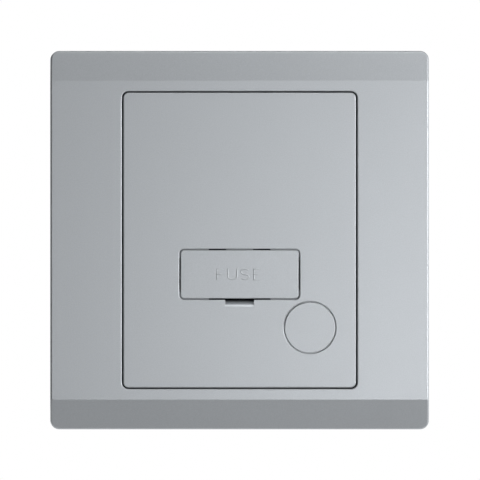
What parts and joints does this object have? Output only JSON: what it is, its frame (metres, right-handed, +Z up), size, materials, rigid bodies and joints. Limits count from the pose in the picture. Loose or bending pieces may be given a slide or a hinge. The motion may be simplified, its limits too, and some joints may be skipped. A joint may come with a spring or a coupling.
{
  "type": "fused spur unit",
  "caption": "Unswitched fused connection unit for a single wall box, with a clip-on silver frame, pull-out fuse carrier and flex outlet blanking plug.",
  "frame": {"origin": "midway between the two box screws, in the plane of the wall", "axes": "+Y into the wall, +Z up, +X to the right as seen from the front"},
  "size_m": [0.086, 0.0325, 0.086],
  "materials": {
    "silver_abs": "smooth silver lacquer, satin",
    "grey_polycarbonate": "moulded, fine matt",
    "white_urea": "moulded, semi-matt",
    "fuse_ceramic": "unglazed fired tube",
    "nickel_plate": "drawn and nickel plated",
    "contact_bronze": "rolled strip, stamped",
    "terminal_brass": "drawn bar, sawn and drilled",
    "zinc_steel": "bright zinc plate"
  },
  "bodies": {
    "frame": {"outer_frame": "silver_abs"},
    "carrier": {"fuse_carrier": "silver_abs", "fuse_barrel": "fuse_ceramic", "fuse_cap_left": "nickel_plate", "fuse_cap_right": "nickel_plate"},
    "outlet_plug": {"flex_outlet_plug": "silver_abs"},
    "unit": {"centre_cover": "silver_abs", "mounting_yoke": "grey_polycarbonate", "rear_base": "white_urea", "cord_clamp": "white_urea", "supply_contact": "contact_bronze", "load_contact": "contact_bronze", "neutral_link": "contact_bronze", "earth_link": "contact_bronze", "terminal_screws": "zinc_steel", "case_screws": "zinc_steel", "fixing_screws": "zinc_steel", "cord_clamp_screws": "zinc_steel", "supply_neutral_terminal": "terminal_brass", "supply_earth_terminal": "terminal_brass", "supply_line_terminal": "terminal_brass", "load_neutral_terminal": "terminal_brass", "load_line_terminal": "terminal_brass", "load_earth_terminal": "terminal_brass"}
  },
  "joints": [
    {"name": "frame_pull", "type": "slide", "parent": "unit", "child": "frame", "axis": [0, -1, 0], "range_m": [0, 0.012]},
    {"name": "carrier_pull", "type": "slide", "parent": "unit", "child": "carrier", "axis": [0, -1, 0], "range_m": [0, 0.014]},
    {"name": "plug_pull", "type": "slide", "parent": "unit", "child": "outlet_plug", "axis": [0, -1, 0], "range_m": [0, 0.006]}
  ]
}
